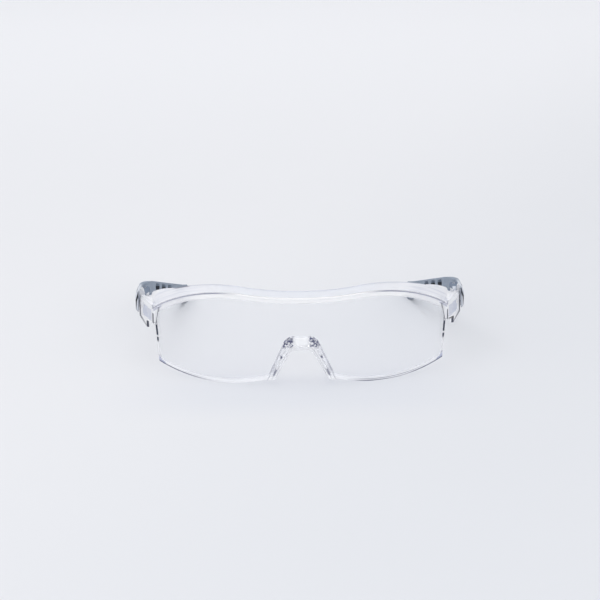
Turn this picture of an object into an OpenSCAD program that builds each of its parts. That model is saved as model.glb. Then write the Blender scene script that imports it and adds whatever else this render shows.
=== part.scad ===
// Safety overglasses: a clear curved lens in a clear brow frame, a nose bridge and two folding temples.
// Millimetres, +Z up, the wearer looks along -Y, and the open glasses stand on the floor at z = 0.
// The origin is the middle of the bounding box, on the floor.

/* [Overall] */
// Width over the outsides of the two temples
overall_width = 167.1; // [165.9:0.2:168.3]
// Distance from the front of the lens to the end of the temples
overall_length = 161.5; // [155:0.5:166]

/* [Lens] */
// Radius of the front face of the lens, seen from above
lens_radius = 110; // [106:1:116]
// Thickness of the lens plate
lens_thickness = 2.4; // [2.0:0.1:3.0]
// Radius of the lower edge on each side of the nose
lower_edge_radius = 88; // [84:1:94]
// Rounding of the lower outer corners
lower_corner_radius = 2.5; // [2:0.5:5]

/* [Brow] */
// Height of the top of the brow above the lowest edge, at the nose
brow_height = 44.9; // [44:0.1:46]
// Rise of the brow shelf towards the face, in degrees
brow_rise = 14; // [12:0.5:16]
// Depth of the brow shelf at the nose
brow_depth = 6.6; // [5:0.2:9]
// Thickness of the brow shelf
brow_thickness = 1.6; // [1.2:0.1:2.2]
// Radius of the shoulder of the brow on each side
brow_shoulder_radius = 61.5; // [60:0.5:64]

/* [Side wings] */
// Thickness of the clear side wings
wing_thickness = 1.8; // [1.4:0.1:2.2]
// Height of the lowest corner of the wings above the floor
wing_low_height = 20.8; // [19:0.1:22.5]
// Depth of the panel let into the outside of each wing
wing_panel_depth = 0.5; // [0.3:0.1:0.9]

/* [Nose bridge] */
// Height of the top of the nose bridge above the floor
bridge_height = 24.6; // [23:0.1:27]
// Depth of the nose bridge behind the lens
bridge_depth = 7; // [4:0.5:9]
// Thickness of the legs of the nose bridge behind the lens
bridge_wall = 1.6; // [1.2:0.1:2.0]

/* [Temples] */
// Depth of the arm from its top edge to its bottom edge
arm_height = 9; // [8:0.1:10]
// Thickness of the arm
arm_thickness = 2.6; // [2.2:0.1:3.0]
// Inward lean of the arms, in degrees
arm_toe_in = 9.8; // [8.5:0.1:11]
// Length of each vent along the arm
vent_length = 9; // [6:0.5:11]
// Height of each vent
vent_height = 3.2; // [2:0.1:4]
// Number of vents in each arm
vent_count = 3; // [1:1:4]

/* [Hinges] */
// Radius of the hinge pins
pin_radius = 0.9; // [0.7:0.05:1.1]
// Radius of the hinge plates round the pin
knuckle_radius = 2.2; // [2.0:0.1:2.3]
// Height of the temple tongue between the hinge plates
tongue_height = 3.2; // [2.6:0.1:3.6]

/* [Hidden] */
$fn = 96;
clear_plastic = [0.86, 0.89, 0.93, 0.45];
frame_plastic = [0.82, 0.86, 0.92, 0.55];
grey_plastic = [0.42, 0.46, 0.52];

// Clearances
seat_gap = 0.05;
running_gap = 0.05;
moving_gap = 0.35;
flat_cut = 0.12;
// Round corners reach this much past the lines they blend, so that the two always cross
blend_margin = 0.02;

// Reach of the cutting and carrying shapes, past everything
far = 120;

// Front wall of the groove, the same in front of and behind the lens
groove_wall = 0.9;
groove_depth = 1;
front_face = lens_radius + groove_wall;
lens_back = lens_radius - lens_thickness;
rear_wall_face = lens_back - seat_gap - groove_wall;

// What lies between the side of the lens and the outside of the temple
rail_wall = 1.15;
wing_lap = 0.1;
wing_run = 19.4;
wing_angle = 66;
arm_gap = 0.4;
cheek_thickness = 1.3;
side_build = rail_wall - wing_lap + wing_run * cos(wing_angle) + arm_gap + cheek_thickness;

// Half the width of the lens, and the places that keep their distance from its sides
side_x = overall_width / 2 - side_build;
shoulder_inset = 42.9;
lower_inset = 32.9;

// The wavy top line, drawn square to the rising shelf
shoulder_x = side_x - shoulder_inset;
shoulder_lift = 0.3;
shoulder_top = (brow_height + shoulder_lift) * cos(brow_rise);
shoulder_centre = shoulder_top - brow_shoulder_radius;
dip_low = brow_height * cos(brow_rise);
dip_reach = dip_low - shoulder_centre;
dip_radius = (shoulder_x * shoulder_x + dip_reach * dip_reach - brow_shoulder_radius * brow_shoulder_radius)
    / (2 * (brow_shoulder_radius - dip_reach));
dip_centre = dip_low + dip_radius;
blend_x = shoulder_x * dip_radius / (dip_radius + brow_shoulder_radius);
blend_top = dip_centre - sqrt(dip_radius * dip_radius - blend_x * blend_x);

// The lower edge and the sides of the lens
lower_x = side_x - lower_inset;
lower_centre = lower_edge_radius - flat_cut;
side_top = 24;
side_lean = 1.5;
side_foot_x = side_x - side_lean;
side_foot = 6;

// The nose notch in the lens
bridge_overlap = 1.8;
notch_corner_drop = 5.5;
notch_corner_radius = notch_corner_drop - bridge_overlap;
notch_corner_x = 3.7;
notch_corner_z = bridge_height - notch_corner_drop;
notch_splay = 0.45;
bridge_outer_radius = notch_corner_radius + bridge_overlap;
bridge_foot = 2.6;
bridge_cut_start = -2;
bridge_cut_depth = 12;
opening_radius = 3.6;
opening_x = 2.9;
opening_z = notch_corner_z - 4.5;
opening_splay = 0.55;

// Side rail of the frame round the end of the lens
rail_outer_x = side_x + rail_wall;
rail_end_angle = asin(rail_outer_x / front_face);
rail_top_grip = 2.3;
rail_low_grip = 0.5;
rail_top = 34.4;
rail_bottom = 25.4;
rail_end_radius = 1;

// The wing runs from the rail to the hinge, here for the right side
wing_front_x = rail_outer_x - wing_lap;
wing_front_y = lens_radius - front_face * cos(rail_end_angle) + wing_lap;
wing_rear_x = wing_front_x + wing_run * cos(wing_angle);
wing_rear_y = wing_front_y + wing_run * sin(wing_angle);
wing_front_bottom = 25.3;
wing_step_top = 24.2;
wing_step = 8.6;
wing_rear_bottom = wing_low_height + 3.8;
wing_rear_top = 35.9;
wing_front_top = 33.8;
wing_rear_corner = 3.6;

// Hinge axis, inside the rear end of the wing
hinge_x = wing_rear_x - 3.2;
hinge_y = wing_rear_y + 1.6;
hinge_middle = 34.35;
tongue_low = hinge_middle - tongue_height / 2;
tongue_high = hinge_middle + tongue_height / 2;
plate_thickness = 2.2;
plate_high = tongue_high + moving_gap + plate_thickness;
plate_low = tongue_low - moving_gap - plate_thickness;
block_length = 5.6;

// Rear edge of the brow shelf: an arc that turns towards the hinge near each side
shelf_edge_radius = 98;
shelf_edge_centre = brow_depth + shelf_edge_radius;
shelf_turn_x = side_x - 9.9;
shelf_turn_y = shelf_edge_centre - sqrt(pow(shelf_edge_radius, 2) - pow(shelf_turn_x, 2)) + 0.3;
shelf_end_x = hinge_x - 4.4;
shelf_end_y = hinge_y - 2;

// Temple, for the right side
arm_front_y = wing_rear_y + 1.2;
cheek_inner_x = wing_rear_x + arm_gap;
cheek_outer_x = cheek_inner_x + cheek_thickness;
cheek_front_y = wing_rear_y - 1.9;
cheek_rear_y = wing_rear_y + 10;
cheek_bottom = 25.6;
cheek_corner_radius = 4.5;
cheek_foot_radius = 3;
arm_top = 38.6;
arm_bend_radius = 110;
arm_bend_y = wing_rear_y - 1.4;
arm_drop_angle = 16.5;
arm_straight_start = 4;
tip_radius = arm_height / 2;
arm_middle_radius = arm_bend_radius - tip_radius;
arm_centre_z = arm_top - arm_bend_radius;
tip_y = overall_length - tip_radius;
bend_middle_y = arm_bend_y + arm_middle_radius * sin(arm_drop_angle);
bend_middle_z = arm_centre_z + arm_middle_radius * cos(arm_drop_angle);
arm_fall = atan((bend_middle_z - tip_radius) / (tip_y - bend_middle_y));
arm_straight_length = norm([tip_y - bend_middle_y, bend_middle_z - tip_radius]);

// Vents, measured along the straight part of the arm and down from its top edge
vent_pitch = vent_length + 6;
vent_first = 11.2;
vent_drop = 2.7;

// The whole part sits with the middle of its length on the origin
length_shift = -(overall_length - groove_wall) / 2;

// 2D tools

module half_plane_above(level) {
    translate([-far, level])
        square([2 * far, far]);
}

// Everything below the wavy top line, taken in by a margin
module below_top_line(margin) {
    difference() {
        union() {
            for (side = [-1, 1])
                translate([side * shoulder_x, shoulder_centre])
                    circle(r = brow_shoulder_radius - margin);
            translate([-blend_x, shoulder_centre])
                square([2 * blend_x, blend_top + 1 - margin - shoulder_centre]);
        }
        translate([0, dip_centre])
            circle(r = dip_radius + blend_margin + margin, $fn = 2400);
    }
}

// A notch with two round upper corners and straight splayed sides, open below
module notch_outline(corner_x, corner_z, corner_radius, splay) {
    lean = atan(splay);
    touch_x = corner_x + corner_radius * cos(lean);
    touch_z = corner_z + corner_radius * sin(lean);
    foot_z = -6;
    foot_x = touch_x + (touch_z - foot_z) * splay;
    union() {
        for (side = [-1, 1])
            translate([side * corner_x, corner_z])
                circle(r = corner_radius + blend_margin);
        polygon([
            [-foot_x, foot_z], [foot_x, foot_z],
            [touch_x, touch_z], [corner_x, corner_z + corner_radius],
            [-corner_x, corner_z + corner_radius], [-touch_x, touch_z]
        ]);
    }
}

module lens_notch() {
    notch_outline(notch_corner_x, notch_corner_z, notch_corner_radius, notch_splay);
}

module bridge_outline() {
    notch_outline(notch_corner_x, notch_corner_z, bridge_outer_radius, notch_splay);
}

module bridge_web() {
    notch_outline(notch_corner_x, notch_corner_z, notch_corner_radius - seat_gap, notch_splay);
}

module bridge_opening(margin) {
    notch_outline(opening_x, opening_z, opening_radius + margin, opening_splay);
}

// Centre of the rounding between the straight side of the lens and its lower edge
side_length = norm([side_x - side_foot_x, side_top - side_foot]);
side_run = [side_x - side_foot_x, side_top - side_foot] / side_length;
side_inward = [-side_run[1], side_run[0]];
corner_start = [side_foot_x, side_foot] + lower_corner_radius * side_inward;
corner_from_arc = corner_start - [lower_x, lower_centre];
corner_b = corner_from_arc * side_run;
corner_c = corner_from_arc * corner_from_arc - pow(lower_edge_radius - lower_corner_radius, 2);
corner_step = -corner_b - sqrt(corner_b * corner_b - corner_c);
corner_at = corner_start + corner_step * side_run;
corner_side_touch = corner_at - lower_corner_radius * side_inward;
corner_out = (corner_at - [lower_x, lower_centre]) / (lower_edge_radius - lower_corner_radius);
corner_low_touch = corner_at + lower_corner_radius * corner_out;

// The lens seen from the front, right half
module lens_half() {
    corner_reach = 8;
    side_at_floor = side_foot_x - side_run[0] / side_run[1] * side_foot;
    difference() {
        intersection() {
            translate([lower_x, lower_centre])
                circle(r = lower_edge_radius);
            polygon([
                [0, 0], [side_at_floor, 0], [side_foot_x, side_foot],
                [side_x, side_top], [side_x, far / 2], [0, far / 2]
            ]);
        }
        difference() {
            polygon([
                corner_at, corner_side_touch,
                corner_side_touch - corner_reach * side_inward,
                corner_low_touch + corner_reach * corner_out, corner_low_touch
            ]);
            translate(corner_at)
                circle(r = lower_corner_radius + blend_margin);
        }
    }
}

module lens_front_view() {
    intersection() {
        difference() {
            union() {
                lens_half();
                mirror([1, 0])
                    lens_half();
            }
            lens_notch();
        }
        half_plane_above(0);
    }
}

// A band of the lens curve seen from above, between two radii
module curve_band(inner, outer) {
    translate([0, lens_radius])
        difference() {
            circle(r = outer, $fn = 180);
            circle(r = inner, $fn = 180);
        }
}

// The front part of the plan, out to a distance on each side
module across_the_front(reach) {
    translate([-reach, -2])
        square([2 * reach, far / 2]);
}

// 3D carriers

// A front view carried straight back along Y
module carried_back(start, length) {
    translate([0, start + length, 0])
        rotate([90, 0, 0])
            linear_extrude(length)
                children();
}

// A front view carried back and up along the rise of the brow
module carried_up_the_rise() {
    rotate([brow_rise, 0, 0])
        carried_back(-far / 4, far)
            children();
}

// A plan carried up from one height to another
module standing(low, high) {
    translate([0, 0, low])
        linear_extrude(high - low)
            children();
}

// A side view, drawn as [y, z], carried across X
module carried_across(start, width) {
    translate([start, 0, 0])
        rotate([90, 0, 90])
            linear_extrude(width)
                children();
}

module both_sides() {
    children();
    mirror([1, 0, 0])
        children();
}

// Lens

module lens() {
    color(clear_plastic)
        translate([0, length_shift, 0])
            intersection() {
                standing(-1, far / 2)
                    intersection() {
                        curve_band(lens_back, lens_radius);
                        across_the_front(far);
                    }
                carried_back(-2, far / 2)
                    lens_front_view();
                carried_up_the_rise()
                    below_top_line(brow_thickness + seat_gap);
            }
}

// Brow frame

// What the shelf leaves open for the brow, seen from above
module brow_opening() {
    intersection() {
        translate([0, shelf_edge_centre])
            circle(r = shelf_edge_radius, $fn = 180);
        polygon([
            [-shelf_turn_x, -far], [shelf_turn_x, -far],
            [shelf_turn_x, shelf_turn_y], [shelf_end_x, shelf_end_y], [shelf_end_x, far],
            [-shelf_end_x, far], [-shelf_end_x, shelf_end_y], [-shelf_turn_x, shelf_turn_y]
        ]);
    }
}

// Plan of the shelf, from the front lip to its rear edge and out to the wings
module shelf_plan() {
    hinge_reach = 5;
    intersection() {
        translate([0, lens_radius])
            circle(r = front_face, $fn = 180);
        difference() {
            translate([-far, -2])
                square([2 * far, far / 2]);
            brow_opening();
        }
        polygon([
            [-wing_front_x, wing_front_y], [-wing_front_x, -2],
            [wing_front_x, -2], [wing_front_x, wing_front_y],
            [wing_rear_x, wing_rear_y], [wing_rear_x - hinge_reach, wing_rear_y],
            [hinge_reach - wing_rear_x, wing_rear_y], [-wing_rear_x, wing_rear_y]
        ]);
    }
}

// Strip along the wing seen from above, between two depths from its outside
module wing_strip(from, to) {
    inward = [-sin(wing_angle), cos(wing_angle)];
    front = [wing_front_x, wing_front_y];
    rear = [wing_rear_x, wing_rear_y];
    polygon([front + from * inward, rear + from * inward, rear + to * inward, front + to * inward]);
}

// Height line on the wing: a distance back along the wing from the rail, and a height
function on_wing(run, height) = [wing_front_y + run * sin(wing_angle), height];

// Wing seen from the side: a low corner behind a step, and a rounded top corner at the hinge
module wing_side_view() {
    past_end = 2;
    polygon([
        on_wing(-past_end, wing_front_bottom),
        on_wing(wing_step + 0.4, wing_step_top),
        on_wing(wing_step, wing_low_height),
        on_wing(wing_step + 1.2, wing_low_height - 0.1),
        on_wing(wing_run + past_end, wing_rear_bottom),
        on_wing(wing_run + past_end, wing_rear_top - 6),
        on_wing(wing_run - 1, wing_rear_top - 2.6),
        on_wing(wing_run - wing_rear_corner, wing_rear_top),
        on_wing(-past_end, wing_front_top)
    ]);
}

// The panel let into the outside of the wing
module wing_panel_view() {
    rim = 1.8;
    top_rim = 2.6;
    polygon([
        on_wing(rim + 0.6, wing_front_bottom + rim - 0.6),
        on_wing(wing_step, wing_step_top + rim - 0.4),
        on_wing(wing_step + rim, wing_low_height + rim + 0.4),
        on_wing(wing_run - rim, wing_rear_bottom + rim - 0.6),
        on_wing(wing_run - rim, wing_rear_top - 6),
        on_wing(wing_run - wing_rear_corner - rim, wing_rear_top - top_rim - 0.8),
        on_wing(rim + 0.6, wing_front_top - top_rim)
    ]);
}

// Thin sloping shoulder between the brow, the wing and the hinge
module shoulder_plan() {
    shoulder_width = 6;
    inner_front = [wing_front_x - 2.4, wing_front_y + 3.5];
    inner_rear = [hinge_x - shoulder_width, hinge_y - shoulder_width - 0.8];
    polygon([
        [wing_front_x - 1.2, wing_front_y + 0.4],
        [wing_rear_x - 0.6, wing_rear_y + 0.4],
        [hinge_x - knuckle_radius, hinge_y - 0.6],
        inner_rear, inner_front
    ]);
}

module shoulder_side_view() {
    shoulder_thickness = 2;
    front_y = wing_front_y - 3;
    rear_y = hinge_y + 2;
    front_z = wing_front_top - 0.4;
    polygon([
        [front_y, front_z], [rear_y, wing_rear_top],
        [rear_y, wing_rear_top - shoulder_thickness], [front_y, front_z - shoulder_thickness]
    ]);
}

// Hinge block seen from above: the round knuckle and the neck that joins it to the wing
module hinge_block_plan() {
    neck_share = 0.7;
    union() {
        translate([hinge_x, hinge_y])
            circle(r = knuckle_radius);
        polygon([
            [hinge_x - knuckle_radius, hinge_y],
            [hinge_x - knuckle_radius, hinge_y - block_length],
            [wing_rear_x - wing_thickness - 1.4, wing_rear_y - 3],
            [wing_rear_x - 0.4, wing_rear_y - 0.4],
            [wing_rear_x - 1.7, wing_rear_y + 0.6],
            [hinge_x + neck_share * knuckle_radius, hinge_y + neck_share * knuckle_radius],
            [hinge_x, hinge_y]
        ]);
    }
}

// Hinge block seen from the side, with sloping ends above and below
module hinge_block_side() {
    slope = 2.4;
    rear = hinge_y + knuckle_radius + 1;
    front = hinge_y - block_length - 1;
    polygon([
        [front, plate_low + slope], [front + slope, plate_low],
        [rear, plate_low], [rear, plate_high],
        [hinge_y - knuckle_radius, plate_high], [front, plate_high - slope - 1]
    ]);
}

// Room for the tongue of the temple, from straight back to fully folded
module tongue_room() {
    room_radius = knuckle_radius + moving_gap;
    room_length = 8;
    standing(tongue_low - moving_gap, tongue_high + moving_gap)
        union() {
            translate([hinge_x, hinge_y])
                circle(r = room_radius);
            polygon([
                [hinge_x, hinge_y - room_radius],
                [hinge_x + 1.4, hinge_y - room_radius + 0.25],
                [cheek_outer_x, hinge_y - 0.6],
                [cheek_outer_x, hinge_y + room_length], [hinge_x, hinge_y + room_length]
            ]);
        }
}

// Rail round the end of the lens, seen from the front
module rail_front_view() {
    inner_top = side_x - rail_top_grip;
    inner_low = side_x - rail_low_grip;
    union() {
        polygon([
            [inner_top, rail_top], [inner_low, rail_bottom],
            [rail_outer_x, rail_bottom], [rail_outer_x, far / 2], [inner_top, far / 2]
        ]);
        translate([rail_outer_x - rail_end_radius, rail_bottom])
            circle(r = rail_end_radius);
    }
}

module frame_side() {
    union() {
        // rail
        intersection() {
            standing(0, far / 2)
                curve_band(rear_wall_face, front_face);
            carried_back(0, far / 2)
                rail_front_view();
            carried_up_the_rise()
                below_top_line(0.4);
        }
        // wing
        difference() {
            intersection() {
                standing(0, far / 2)
                    wing_strip(0, wing_thickness);
                carried_across(0, far)
                    wing_side_view();
            }
            intersection() {
                standing(0, far / 2)
                    wing_strip(-1, wing_panel_depth);
                carried_across(0, far)
                    wing_panel_view();
            }
        }
        // shoulder
        intersection() {
            standing(0, far / 2)
                shoulder_plan();
            carried_across(0, far)
                shoulder_side_view();
        }
        // hinge block
        intersection() {
            standing(plate_low, plate_high)
                hinge_block_plan();
            carried_across(0, far)
                hinge_block_side();
        }
    }
}

// The groove that takes the lens, its own thickness and a seat gap wide
module lens_groove() {
    intersection() {
        standing(-1, far / 2)
            intersection() {
                curve_band(lens_back - seat_gap, lens_radius + seat_gap);
                across_the_front(side_x + seat_gap);
            }
        carried_up_the_rise()
            below_top_line(brow_thickness);
    }
}

module brow_frame() {
    color(frame_plastic)
        translate([0, length_shift, 0])
            difference() {
                union() {
                    // shelf
                    intersection() {
                        standing(10, far / 2)
                            shelf_plan();
                        carried_up_the_rise()
                            difference() {
                                below_top_line(0);
                                below_top_line(brow_thickness);
                            }
                    }
                    // lips in front of and behind the top of the lens
                    intersection() {
                        standing(10, far / 2)
                            intersection() {
                                curve_band(rear_wall_face, front_face);
                                across_the_front(rail_outer_x);
                            }
                        carried_up_the_rise()
                            difference() {
                                below_top_line(0.2);
                                below_top_line(brow_thickness + groove_depth);
                            }
                    }
                    both_sides()
                        frame_side();
                }
                lens_groove();
                both_sides()
                    tongue_room();
                both_sides()
                    translate([hinge_x, hinge_y, 0])
                        cylinder(r = pin_radius, h = far / 2);
            }
}

// Nose bridge: a web inside the notch, a lip on each face of the lens and legs behind it
module nose_bridge() {
    color(frame_plastic)
        translate([0, length_shift, 0])
            union() {
                // web
                intersection() {
                    standing(-1, far / 2)
                        curve_band(rear_wall_face, front_face);
                    carried_back(bridge_cut_start, bridge_cut_depth)
                        intersection() {
                            difference() {
                                bridge_web();
                                bridge_opening(0);
                            }
                            half_plane_above(bridge_foot);
                        }
                }
                // lips
                intersection() {
                    standing(-1, far / 2)
                        difference() {
                            curve_band(rear_wall_face, front_face);
                            curve_band(lens_back - seat_gap, lens_radius + seat_gap);
                        }
                    carried_back(bridge_cut_start, bridge_cut_depth)
                        intersection() {
                            difference() {
                                bridge_outline();
                                bridge_opening(0);
                            }
                            half_plane_above(bridge_foot);
                        }
                }
                // legs
                intersection() {
                    carried_back(lens_thickness, bridge_depth)
                        intersection() {
                            difference() {
                                bridge_opening(bridge_wall);
                                bridge_opening(0);
                            }
                            half_plane_above(bridge_foot + 0.8);
                        }
                    standing(-1, far / 2)
                        translate([0, lens_radius])
                            circle(r = lens_back - seat_gap, $fn = 180);
                }
            }
}

module hinge_pins() {
    color(frame_plastic)
        translate([0, length_shift, 0])
            both_sides()
                translate([hinge_x, hinge_y, plate_low])
                    cylinder(r = pin_radius, h = plate_high - plate_low);
}

// Temple

// Arm seen from the side, from the bend at the hinge to the round tip
module arm_side_view() {
    union() {
        intersection() {
            translate([arm_bend_y, arm_centre_z])
                difference() {
                    circle(r = arm_bend_radius, $fn = 180);
                    circle(r = arm_bend_radius - arm_height, $fn = 180);
                }
            translate([arm_bend_y, arm_centre_z])
                polygon([
                    [0, 0],
                    [2 * far * sin(arm_drop_angle), 2 * far * cos(arm_drop_angle)],
                    [0, 2 * far]
                ]);
        }
        translate([arm_front_y - 4, arm_top - arm_height])
            square([arm_bend_y - arm_front_y + 4, arm_height]);
        translate([bend_middle_y, bend_middle_z])
            rotate(-arm_fall)
                translate([0, -arm_height / 2 - blend_margin])
                    square([arm_straight_length, arm_height + 2 * blend_margin]);
        translate([tip_y, tip_radius])
            circle(r = tip_radius);
    }
}

module arm_plan() {
    inner = cheek_outer_x - arm_thickness;
    lean = tan(arm_toe_in);
    run = overall_length - arm_front_y;
    polygon([
        [inner, arm_front_y], [cheek_outer_x, arm_front_y],
        [cheek_outer_x, arm_front_y + arm_straight_start],
        [cheek_outer_x - (run - arm_straight_start) * lean, overall_length],
        [inner - run * lean, overall_length]
    ]);
}

// The deep front end of the temple, outside the wing
module cheek_side_view() {
    corner = 2.4;
    foot_length = 3;
    rear_slope = 4;
    polygon([
        [cheek_front_y, cheek_bottom + corner],
        [cheek_front_y + corner / 2, cheek_bottom],
        [cheek_front_y + corner / 2 + foot_length, cheek_bottom],
        [cheek_rear_y, arm_top - arm_height + 1.2],
        [cheek_rear_y, arm_top - arm_height / 2],
        [cheek_rear_y - rear_slope, arm_top],
        [cheek_front_y + corner, arm_top],
        [cheek_front_y, arm_top - corner]
    ]);
}

// What the rounded outer corners take off the temple, seen from the front
module cheek_corner_waste() {
    difference() {
        translate([cheek_outer_x - cheek_corner_radius, arm_top - cheek_corner_radius])
            square(far / 4);
        translate([cheek_outer_x - cheek_corner_radius, arm_top - cheek_corner_radius])
            circle(r = cheek_corner_radius + blend_margin);
    }
}

module cheek_foot_waste() {
    difference() {
        translate([cheek_outer_x - cheek_foot_radius, cheek_bottom + cheek_foot_radius - far / 4])
            square(far / 4);
        translate([cheek_outer_x - cheek_foot_radius, cheek_bottom + cheek_foot_radius])
            circle(r = cheek_foot_radius + blend_margin);
    }
}

module tongue_plan() {
    web = 4.6;
    union() {
        translate([hinge_x, hinge_y])
            circle(r = knuckle_radius);
        polygon([
            [hinge_x, hinge_y - knuckle_radius + blend_margin],
            [hinge_x + 1.2, hinge_y - knuckle_radius + 0.35],
            [cheek_outer_x - 0.6, arm_front_y + 0.4],
            [cheek_outer_x - 0.8, hinge_y + web],
            [hinge_x + 1, hinge_y + web],
            [hinge_x - knuckle_radius + blend_margin, hinge_y]
        ]);
    }
}

// Stadium-shaped vents in a row along the straight part of the arm, near its top edge
module vents() {
    flat = vent_length - vent_height;
    for (step = [0 : vent_count - 1])
        translate([bend_middle_y, bend_middle_z])
            rotate(-arm_fall)
                translate([vent_first + step * vent_pitch, arm_height / 2 - vent_drop])
                    union() {
                        translate([-flat / 2, -vent_height / 2 + blend_margin])
                            square([flat, vent_height - 2 * blend_margin]);
                        for (end = [-flat / 2, flat / 2])
                            translate([end, 0])
                                circle(r = vent_height / 2);
                    }
}

module temple() {
    color(grey_plastic)
        translate([0, length_shift, 0])
            difference() {
                union() {
                    difference() {
                        union() {
                            intersection() {
                                standing(-1, far / 2)
                                    arm_plan();
                                carried_across(0, far)
                                    arm_side_view();
                            }
                            carried_across(cheek_inner_x, cheek_thickness)
                                cheek_side_view();
                        }
                        // room for the hinge plates
                        translate([hinge_x, hinge_y, 0])
                            cylinder(r = knuckle_radius + moving_gap, h = far / 2);
                    }
                    standing(tongue_low, tongue_high)
                        tongue_plan();
                }
                translate([hinge_x, hinge_y, 0])
                    cylinder(r = pin_radius + running_gap, h = far / 2);
                carried_across(0, far)
                    vents();
                carried_back(cheek_front_y - 2, far)
                    cheek_corner_waste();
                carried_back(cheek_front_y - 2, cheek_rear_y - cheek_front_y)
                    cheek_foot_waste();
            }
}

module right_temple() {
    temple();
}

module left_temple() {
    mirror([1, 0, 0])
        temple();
}

lens();
brow_frame();
nose_bridge();
hinge_pins();
left_temple();
right_temple();
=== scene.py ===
"""Clear over-spectacle safety glasses with grey vented temples.

The materials, the lens plate, the pieces with rounded edges, the table, the light and the camera.
"""

import math

import bmesh
import bpy
from mathutils import Matrix, Vector


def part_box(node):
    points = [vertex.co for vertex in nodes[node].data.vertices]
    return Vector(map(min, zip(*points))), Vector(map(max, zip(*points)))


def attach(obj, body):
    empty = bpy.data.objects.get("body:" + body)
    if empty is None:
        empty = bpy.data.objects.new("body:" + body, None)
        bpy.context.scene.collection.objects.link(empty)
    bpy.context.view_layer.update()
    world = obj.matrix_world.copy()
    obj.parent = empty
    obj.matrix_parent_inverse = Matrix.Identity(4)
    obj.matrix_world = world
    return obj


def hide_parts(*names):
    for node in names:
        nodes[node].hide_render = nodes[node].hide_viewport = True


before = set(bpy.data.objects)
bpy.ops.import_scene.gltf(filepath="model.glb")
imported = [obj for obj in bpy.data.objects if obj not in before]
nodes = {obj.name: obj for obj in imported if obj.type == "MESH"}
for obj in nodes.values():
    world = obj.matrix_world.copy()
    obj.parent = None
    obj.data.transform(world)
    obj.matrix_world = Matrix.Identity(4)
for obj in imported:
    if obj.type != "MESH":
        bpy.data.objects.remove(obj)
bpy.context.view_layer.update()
scene = bpy.context.scene


# ---------------------------------------------------------------- sizes of the source, in millimetres
MM = 1000.0
SHIFT_Y = -80.3
OUTSIDE_X = 167.1 / 2
LENS_RADIUS, LENS_THICK = 110.0, 2.4
GROOVE_WALL = 0.9

# The rail beside the lens, the wing that turns back from it, and the cheek of the temple
RAIL_WALL, WING_LAP, WING_RUN, WING_TURN = 1.15, 0.1, 19.4, math.radians(66)
ARM_GAP, CHEEK_THICK = 0.4, 1.3
SIDE_X = OUTSIDE_X - (RAIL_WALL - WING_LAP + WING_RUN * math.cos(WING_TURN) + ARM_GAP + CHEEK_THICK)
RAIL_X = SIDE_X + RAIL_WALL
WING_X = RAIL_X - WING_LAP
WING_Y = LENS_RADIUS + WING_LAP - math.sqrt((LENS_RADIUS + GROOVE_WALL) ** 2 - RAIL_X ** 2)
WING_REAR_Y = WING_Y + WING_RUN * math.sin(WING_TURN)
CHEEK_Y = WING_REAR_Y - 1.9

# The outline of the lens: its leaning sides, its curved lower edge and its notch
SIDE_LEAN, SIDE_FOOT, SIDE_TOP = 1.5, 6.0, 24.0
SIDE_FOOT_X = SIDE_X - SIDE_LEAN
LOWER_INSET, LOWER_Z, LOWER_RADIUS = 32.9, 87.88, 88.0
LOWER_X = SIDE_X - LOWER_INSET
NOTCH_X, NOTCH_Z, NOTCH_RADIUS = 3.7, 19.1, 3.7
NOTCH_SPLAY = 0.45
NOTCH_LEAN = math.atan(NOTCH_SPLAY)

# The rising shelf of the brow: a dip over the nose, a shoulder over each eye, a round rear edge
RISE = math.radians(14)
BROW_HEIGHT, SHOULDER_LIFT = 44.9, 0.3
SHOULDER_INSET, SHOULDER_RADIUS = 42.9, 61.5
SHOULDER_X = SIDE_X - SHOULDER_INSET
SHOULDER_Z = (BROW_HEIGHT + SHOULDER_LIFT) * math.cos(RISE) - SHOULDER_RADIUS
DIP_LOW = BROW_HEIGHT * math.cos(RISE)
DIP_REACH = DIP_LOW - SHOULDER_Z
DIP_RADIUS = (SHOULDER_X ** 2 + DIP_REACH ** 2 - SHOULDER_RADIUS ** 2) / (2 * (SHOULDER_RADIUS - DIP_REACH))
DIP_Z = DIP_LOW + DIP_RADIUS
BLEND_X = SHOULDER_X * DIP_RADIUS / (DIP_RADIUS + SHOULDER_RADIUS)
BROW_DEPTH, SHELF_RADIUS = 6.6, 98.0
SHELF_CENTRE = BROW_DEPTH + SHELF_RADIUS

# The straight part of the arm, and its row of vents
ARM_LENGTH, ARM_TOP, ARM_HALF = 161.5, 38.6, 9.0 / 2
BEND_RADIUS, BEND_TURN = 110.0, math.radians(16.5)
BEND_Y = WING_REAR_Y - 1.4 + (BEND_RADIUS - ARM_HALF) * math.sin(BEND_TURN)
BEND_Z = ARM_TOP - BEND_RADIUS + (BEND_RADIUS - ARM_HALF) * math.cos(BEND_TURN)
ARM_FALL = math.atan((BEND_Z - ARM_HALF) / (ARM_LENGTH - ARM_HALF - BEND_Y))
VENT_FIRST, VENT_PITCH, VENT_HEIGHT = 11.2, 15.0, ARM_HALF - 2.7
VENT_REACH, VENT_HALF = 4.7, 1.75


# ---------------------------------------------------------------- node helpers
def linear(r, g, b):
    """The linear colour of an sRGB colour given from 0 to 255."""
    def one(v):
        v = v / 255
        return v / 12.92 if v <= 0.04045 else ((v + 0.055) / 1.055) ** 2.4
    return (one(r), one(g), one(b), 1.0)


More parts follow.
